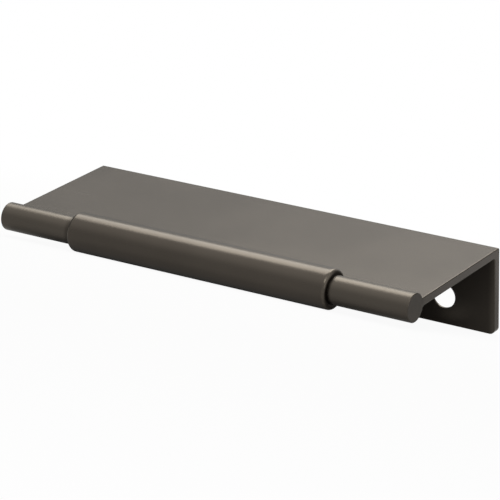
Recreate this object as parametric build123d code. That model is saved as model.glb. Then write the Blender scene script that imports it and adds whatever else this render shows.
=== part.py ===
from build123d import *
from math import acos, atan2, cos, degrees, hypot, sin
import os

# Cabinet edge pull: a flange that screws to the back of a door, a flat plate
# that passes over the door's edge, and a round bead with a thicker middle grip.
# Drawn first as it hangs on a door, in millimetres: X along the pull, Y away
# from the hand, Z up, with the plate's top at Z = 0 and the flange's back at Y = 0.

# Whole pull
length = 100.0          # along X
plate_t = 1.8           # thickness of the flat plate
flange_t = 1.9          # thickness of the flange
flange_h = 18.6         # height of the flange, plate included

# Bead and grip
bead_r = 3.0            # radius of the round front edge
bead_back = 33.4        # from the flange's back face to the bead's axis
bead_drop = 1.1         # the bead's axis lies this far below the plate's top
grip_r = 4.2            # radius of the thicker middle
grip_len = 63.5         # length of the thicker middle

# Screw holes, countersunk from the flange's back
hole_spacing = 76.2
hole_r = 2.65
hole_drop = 12.35       # from the plate's top to the hole's centre
hole_land = 0.4         # straight part left at the flange's front face

# Small rounds
inner_round = 0.5       # inside corner of plate and flange
under_round = 0.9       # where the plate's underside meets the bead
top_round = 0.3         # where the plate's top meets the bead
corner_round = 1.3      # the flange's two lower corners, seen from the front
heel_round = 0.5        # outer corner of plate and flange
edge_round = 0.2        # rubbed-down outer edges of plate, flange and bead
rim_round = 0.8         # rims of the grip


def section():
    """Outline of plate, flange and bead, the same along the whole length."""
    plate = Pos(-bead_back / 2, -plate_t / 2) * Rectangle(bead_back, plate_t)
    flange = Pos(-flange_t / 2, -flange_h / 2) * Rectangle(flange_t, flange_h)
    outline = plate + flange + Pos(-bead_back, -bead_drop) * Circle(bead_r)

    def corner(y, z):
        return outline.vertices().sort_by_distance((y, z, 0))[0]

    # The plate's top and underside leave the bead's circle at these two places.
    top_y = -bead_back + (bead_r ** 2 - bead_drop ** 2) ** 0.5
    low_y = -bead_back + (bead_r ** 2 - (plate_t - bead_drop) ** 2) ** 0.5
    outline = fillet(corner(-flange_t, -plate_t), inner_round)
    outline = fillet(corner(low_y, -plate_t), under_round)
    return fillet(corner(top_y, 0), top_round)


def bar():
    """The section pulled out to full length, its lower corners rounded and its outer edges rubbed down."""
    body = extrude(Plane.YZ * section(), length / 2, both=True)
    body = fillet(body.edges().filter_by(Axis.Y).group_by(Axis.Z)[0], corner_round)
    body = fillet(body.edges().filter_by(Axis.X).sort_by_distance((0, 0, 0))[0], heel_round)
    ends = body.faces().filter_by(Plane.YZ)
    foot = body.faces().filter_by(Plane.XY).sort_by(Axis.Z)[0]
    return fillet(ends.edges() + foot.edges().filter_by(Axis.X), edge_round)


def grip():
    """The thicker middle of the bead, a plain round bar with rounded rims."""
    rod = Cylinder(grip_r, grip_len, rotation=(0, 90, 0))
    rod = fillet(rod.edges().filter_by(GeomType.CIRCLE), rim_round)
    return Pos(0, -bead_back, -bead_drop) * rod


def screw_holes():
    """Two holes through the flange, each sunk from the back for a flat-headed screw."""
    sink = flange_t - hole_land
    drill = Cylinder(hole_r, 4 * flange_t, rotation=(90, 0, 0))
    cone = Pos(0, -sink / 2, 0) * Cone(hole_r, hole_r + sink, sink, rotation=(-90, 0, 0))
    tool = drill + cone
    return [Pos(side * hole_spacing / 2, 0, -hole_drop) * tool for side in (-1, 1)]


def lean():
    """Angle at which the grip's underside and the flange's lower edge share a floor."""
    rise = flange_h - edge_round - bead_drop
    reach = bead_back - flange_t + edge_round
    return acos((grip_r - edge_round) / hypot(rise, reach)) - atan2(reach, rise)


def stored(shape):
    """Lean the pull forward onto its grip and put the middle of its footprint at zero."""
    shape = Rot(degrees(lean()), 0, 0) * shape
    box = shape.bounding_box()
    return Pos(0, -box.center().Y, -box.min.Z) * shape


def pull():
    """One piece: bar and grip together, less the screw holes."""
    body = bar() + grip()
    for hole in screw_holes():
        body -= hole
    return stored(body)


os.makedirs("parts", exist_ok=True)
export_step(pull(), "parts/edge_pull.step")
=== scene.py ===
"""Cabinet edge pull in coated metal, resting on its grip and its flange on a pale studio floor."""
from math import radians

import bpy
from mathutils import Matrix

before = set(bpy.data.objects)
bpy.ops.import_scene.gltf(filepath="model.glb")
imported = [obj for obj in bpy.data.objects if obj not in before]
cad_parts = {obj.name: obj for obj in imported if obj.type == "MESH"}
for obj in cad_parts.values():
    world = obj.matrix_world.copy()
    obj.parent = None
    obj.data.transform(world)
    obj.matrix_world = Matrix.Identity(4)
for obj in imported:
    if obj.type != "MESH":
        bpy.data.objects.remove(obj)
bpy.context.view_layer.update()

# The pull: one bar of aluminium, with flange, plate, bead and thicker grip cut from a
# single length, brushed along it and coated dark bronze. Handling smooths the grip. Its
# outer edges are brightened, partly as wear and partly as painted highlight, and painted
# shade darkens the steps beside the grip.


class Value:
    """A shader socket that can be used in sums: each operator adds the Math node of its name."""

    def __init__(self, tree, socket):
        self.tree, self.socket = tree, socket

    def node(self, kind, settings=None, inputs=None, output=0):
        """Adds one node of a type, sets it up, joins its inputs and gives back one output."""
        made = self.tree.nodes.new(kind)
        for name, value in (settings or {}).items():
            setattr(made, name, value)
        for name, value in (inputs or {}).items():
            if isinstance(value, Value):
                self.tree.links.new(value.socket, made.inputs[name])
            else:
                made.inputs[name].default_value = value
        return Value(self.tree, made.outputs[output]) if made.outputs else None

    def parts(self):
        """The three numbers of a place or a direction."""
        split = self.node("ShaderNodeSeparateXYZ", {}, {0: self})
        return [Value(self.tree, output) for output in split.socket.node.outputs]

    def maths(self, operation, *others):
        """One Math node on this value and the others."""
        values = dict(enumerate((self,) + others))
        return self.node("ShaderNodeMath", {"operation": operation}, values)

    def mix(self, first, second):
        """The first colour where this value is 0, the second where it is 1."""
        values = {"Factor": self, "A": first, "B": second}
        return self.node("ShaderNodeMix", {"data_type": "RGBA"}, values, output=2)

    def __add__(self, other):
        return self.maths("ADD", other)

    def __radd__(self, other):
        return self.maths("ADD", other)

    def __sub__(self, other):
        return self.maths("SUBTRACT", other)

    def __rsub__(self, other):
        return (self * -1) + other

    def __mul__(self, other):
        return self.maths("MULTIPLY", other)

    def __rmul__(self, other):
        return self.maths("MULTIPLY", other)

    def __pow__(self, other):
        return self.maths("POWER", other)

    def __abs__(self):
        return self.maths("ABSOLUTE")

    def most(self, *others):
        """The largest of this value and the others."""
        largest = self
        for other in others:
            largest = largest.maths("MAXIMUM", other)
        return largest

    def ramp(self, low, high):
        """0 up to low, 1 from high on, and an S-shaped rise between them."""
        settings = {"interpolation_type": "SMOOTHSTEP", "clamp": True}
        ends = {"Value": self, "From Min": low, "From Max": high}
        return self.node("ShaderNodeMapRange", settings, ends)

    def between(self, low, high, soft):
        """1 from low to high, falling to 0 over the width soft on either side."""
        return self.ramp(low - soft, low) * (1 - self.ramp(high, high + soft))


def bare_tree(owner):
    """Clears the nodes of a material or world and gives back a Value to start from."""
    owner.use_nodes = True
    owner.node_tree.nodes.clear()
    return Value(owner.node_tree, None)


def noise(per_metre, detail, rough, stretch=(1.0, 1.0, 1.0)):
    """Noise over the pull, drawn out along an axis where its stretch is small."""
    scale = tuple(per_metre * share for share in stretch)
    where = place.node("ShaderNodeMapping", {}, {"Vector": place, "Scale": scale})
    look = {"Vector": where, "Scale": 1.0, "Detail": detail, "Roughness": rough}
    return place.node("ShaderNodeTexNoise", {"noise_dimensions": "3D"}, look)


bronze = bpy.data.materials.new("dark_bronze_coat")
place = bare_tree(bronze).node("ShaderNodeTexCoord", output="Object")

# The pull's own sizes, and its lean: the angle from the way it hangs on a door to the
# way it lies here. The shift puts zero at the plate's top and the flange's back.
mm = 0.001
half_length, grip_half = 50 * mm, 31.75 * mm
bead_radius, grip_radius = 3 * mm, 4.2 * mm
axis_back, axis_drop = 33.4 * mm, 1.1 * mm
flange_thickness, flange_height = 1.9 * mm, 18.6 * mm
plate_thickness = 1.8 * mm
lean = radians(22.2639)
shift = (0.0, -19.5921 * mm, -11.2912 * mm)

# Places on the pull as it hangs: to the right of its middle, away from the hand, up from
# the plate's top, and out from the axis that bead and grip share.
hung = place.node("ShaderNodeMapping", {}, {
    "Vector": place, "Rotation": (-lean, 0.0, 0.0), "Location": shift})
rightward, across, height = hung.parts()
leftward, down = -1 * rightward, -1 * height
along = abs(rightward)
from_axis = ((across + axis_back) ** 2 + (height + axis_drop) ** 2) ** 0.5

hairlines = noise(per_metre=7000.0, detail=2.0, rough=0.6, stretch=(0.008, 1.0, 1.0))
streaks = noise(per_metre=1400.0, detail=2.0, rough=0.5, stretch=(0.02, 1.0, 1.0))
cloud = noise(per_metre=60.0, detail=4.0, rough=0.55)
speckle = noise(per_metre=900.0, detail=3.0, rough=0.6)

# Edges that hands and cloths reach: both ends, the grip's rims, the outer corner of
# plate and flange, and the flange's foot. Their brightening is partly wear and partly
# painted highlight. A painted highlight also lies on the flange's front face close to
# both ends, where its rounded edges catch light.
end_rims = along.between(half_length - 0.16 * mm, half_length - 0.05 * mm, soft=0.06 * mm)
grip_rims = (along.between(grip_half - 0.5 * mm, grip_half - 0.17 * mm, soft=0.18 * mm)
             * from_axis.between(grip_radius - 0.2 * mm, grip_radius + 0.1 * mm, soft=0.2 * mm))
heel = across.ramp(-0.55 * mm, -0.3 * mm) * height.ramp(-0.55 * mm, -0.3 * mm)
foot = down.ramp(flange_height - 0.25 * mm, flange_height - 0.1 * mm)
from_front = abs(across + flange_thickness)
front_face = (1 - from_front.ramp(0.3 * mm, 0.6 * mm)) * down.ramp(plate_thickness, 2.4 * mm)
# Painted highlight: the flange's front face is brightened close to both ends.
inner_end_highlight = (along.ramp(half_length - 1.7 * mm, half_length - 0.1 * mm)
              * (1 - along.ramp(half_length - 0.21 * mm, half_length - 0.16 * mm)) * front_face)
rubbed_edges_and_glints = (0.4 * end_rims).most(grip_rims, heel, foot)
# The paler edge colour is partly wear and partly painted highlight.
wear_and_highlight = (rubbed_edges_and_glints * (0.15 + 0.4 * speckle.ramp(0.35, 0.7))).most(0.8 * inner_end_highlight)

# The bead's thin ends stay a little duller and paler than the grip. Painted shade darkens
# the steps beside the grip, the left one over a wider band, and the bead's cut ends.
on_bead = 1 - from_axis.ramp(bead_radius + 0.2 * mm, bead_radius + 0.6 * mm)
step = along.between(grip_half - 0.03 * mm, grip_half + 0.25 * mm, soft=0.6 * mm) * on_bead
left_step = leftward.between(grip_half, grip_half + 0.6 * mm, soft=1.2 * mm) * on_bead
thin_ends = along.between(grip_half + 0.4 * mm, half_length - 0.3 * mm, soft=0.2 * mm) * on_bead
cut_ends = along.ramp(half_length - 0.05 * mm, half_length - 0.01 * mm) * on_bead
# Painted shade: the steps beside the grip and the bead's cut ends are darkened in the coat's
# colour.
shade = (0.6 * step).most(0.55 * left_step, 0.3 * cut_ends)

dark_tone, light_tone = (0.078, 0.068, 0.058, 1.0), (0.086, 0.075, 0.064, 1.0)
dull_tone, shaded_tone = (0.1, 0.088, 0.075, 1.0), (0.03, 0.026, 0.022, 1.0)
worn_and_highlight_tone = (0.17, 0.15, 0.125, 1.0)
clouded = cloud.ramp(0.35, 0.65).mix(dark_tone, light_tone)
dulled = (0.7 * thin_ends).mix(clouded, dull_tone)
colour = wear_and_highlight.mix(shade.mix(dulled, shaded_tone), worn_and_highlight_tone)

brushing = 0.05 * (hairlines - 0.5) + 0.015 * (streaks - 0.5)
roughness = 0.255 + 0.04 * (cloud - 0.5) + brushing + 0.08 * step + 0.05 * thin_ends
grain = 0.85 * hairlines + 0.15 * streaks
relief = grain.node("ShaderNodeBump", {}, {
    "Strength": 0.06, "Distance": 0.02 * mm, "Height": grain})

coat = place.node("ShaderNodeBsdfPrincipled", {}, {
    "Base Color": colour, "Metallic": 1.0, "Roughness": roughness, "Normal": relief})
place.node("ShaderNodeOutputMaterial", {}, {"Surface": coat})

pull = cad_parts["edge_pull"]
for slot in pull.material_slots:
    slot.material = bronze

# The surround: white to the camera all round. The metal sees walls that are pale in front
# and overhead, dimmer low down behind it and halfway up both sides, which shades its ends.

world = bpy.data.worlds.new("studio")
bpy.context.scene.world = world
sky = bare_tree(world)
from_camera, from_metal, through = (
    sky.node("ShaderNodeLightPath", output=ray)
    for ray in ("Is Camera Ray", "Is Glossy Ray", "Is Transmission Ray"))

# A direction's parts run from -1 to 1, so up is 0 at the horizon and 1 overhead.
right, away, up = sky.node("ShaderNodeTexCoord", output="Generated").parts()
left = -1 * right
front_wall = 0.68 + 0.42 * up.ramp(0.05, 0.7)
back_wall = (0.25 + 0.85 * up.ramp(0.1, 0.75)) * (1 - 0.33 * left.ramp(0.46, 0.59))
behind = away.ramp(-0.2, 0.4)
sides = (right.ramp(0.15, 0.5) + left.ramp(0.68, 0.85)).maths("MINIMUM", 1.0)
side_shade = 0.6 * sides * up.ramp(0.05, 0.3) * (1 - 0.7 * up.ramp(0.5, 0.8))
far_right = 0.7 * right.ramp(0.56, 0.8)
walls = (front_wall * (1 - behind) + back_wall * behind) * (1 - side_shade) + far_right

# White where it is seen. The rays that light the matt floor get two fifths of that.
seen = from_camera.most(from_metal, through)
plain = 0.4 + 0.6 * seen
level = walls * from_metal + plain * (1 - from_metal)
white, warm_white = (1.0, 1.0, 1.0, 1.0), (1.0, 0.985, 0.95, 1.0)
tint = from_metal.mix(white, warm_white)
surround = sky.node("ShaderNodeBackground", {}, {"Color": tint, "Strength": level})
sky.node("ShaderNodeOutputWorld", {}, {"Surface": surround})

# The floor: a pale matt table that glows enough to look white and still keeps the pull's
# faint shadow. The metal sees it a little greyer and darker in the pull's own shade. The
# grey patches it sees are painted reflection in the floor's glow.

floor_half = 30.0
floor_mesh = bpy.data.meshes.new("floor")
floor_mesh.from_pydata(
    [(-floor_half, -floor_half, 0), (floor_half, -floor_half, 0),
     (floor_half, floor_half, 0), (-floor_half, floor_half, 0)], [], [(0, 1, 2, 3)])
floor = bpy.data.objects.new("floor", floor_mesh)
bpy.context.scene.collection.objects.link(floor)

table = bpy.data.materials.new("table")
ground = bare_tree(table)
by_camera, by_metal = (
    ground.node("ShaderNodeLightPath", output=ray) for ray in ("Is Camera Ray", "Is Glossy Ray"))
spot = ground.node("ShaderNodeTexCoord", output="Object")
floor_x, floor_y, _ = spot.parts()
distance = spot.node("ShaderNodeVectorMath", {"operation": "LENGTH"}, {0: spot}, output="Value")
far = distance.ramp(0.12, 0.5)

# What the metal sees of the floor is painted reflection in its glow: grey, but past the
# pull's right end, which its cut ends there mirror, first darker and then white. Below the
# pull the glow is low in the middle, so the real shade shows, and is painted brighter
# towards both ends.
near_grey, painted_end_grey = (0.66, 0.65, 0.63, 1.0), (0.36, 0.36, 0.36, 1.0)
beyond_end = distance.ramp(0.12, 0.26).mix(painted_end_grey, white)
metal_sees = floor_x.ramp(60 * mm, 90 * mm).mix(near_grey, beyond_end)
below = (floor_y.between(-17.5 * mm, 21 * mm, soft=3 * mm)
         * (1 - abs(floor_x).ramp(half_length, half_length + 6 * mm)))
open_glow = 0.6 + 0.4 * far
floor_left = -1 * floor_x
# Painted light: the glow under the pull rises towards both ends to lighten what the bead mirrors
# there.
painted_glow_below = 0.08 + 0.2 * floor_x.ramp(30 * mm, 52 * mm) + 0.4 * floor_left.ramp(36 * mm, 48 * mm)
mirrored_glow = open_glow * (1 - below) + painted_glow_below * below
glow_share = by_camera * (0.94 + 0.06 * far) + by_metal * mirrored_glow

matt = ground.node("ShaderNodeBsdfDiffuse", {}, {"Color": (0.62, 0.62, 0.62, 1.0)})
glow = ground.node("ShaderNodeEmission", {}, {
    "Color": by_metal.mix(white, metal_sees), "Strength": 1.0})
table_top = ground.node("ShaderNodeMixShader", {}, {0: glow_share, 1: matt, 2: glow})
ground.node("ShaderNodeOutputMaterial", {}, {"Surface": table_top})
floor_mesh.materials.append(table)

# The lights: a wide soft one hangs over the pull, a little behind it and to its left, and
# a small one stands above the camera and draws the bright hooks on the rims.


def soft_light(name, width, depth, watts, location, turn):
    """One plain rectangle of slightly warm light, its turn in degrees about X, Y and Z."""
    data = bpy.data.lights.new(name, "AREA")
    data.shape = "RECTANGLE"
    data.size, data.size_y, data.energy = width, depth, watts
    data.color = (1.0, 0.99, 0.94)
    light = bpy.data.objects.new(name, data)
    bpy.context.scene.collection.objects.link(light)
    light.location = location
    light.rotation_euler = [radians(angle) for angle in turn]


soft_light("overhead_light", width=0.62, depth=0.44, watts=3.1,
           location=(-0.18, 0.155, 0.55), turn=(0.0, 0.0, 18.0))
soft_light("front_light", width=0.16, depth=0.16, watts=0.32,
           location=(0.28, -0.43, 0.36), turn=(54.9, 0.0, 33.1))

# The camera: a long lens, fitted to the photograph's edges, half a metre away at the front
# right, just above the floor and rolled by about eleven degrees.

camera_data = bpy.data.cameras.new("camera")
camera_data.sensor_width = 36.0
camera_data.lens = 188.75
camera_data.clip_start = 0.01
camera = bpy.data.objects.new("camera", camera_data)
bpy.context.scene.collection.objects.link(camera)
camera.location = (0.288147, -0.461208, 0.034079)
camera.rotation_euler = [radians(angle) for angle in (87.12350, -10.74964, 32.49973)]
bpy.context.scene.camera = camera
bpy.context.scene.view_settings.view_transform = "Standard"
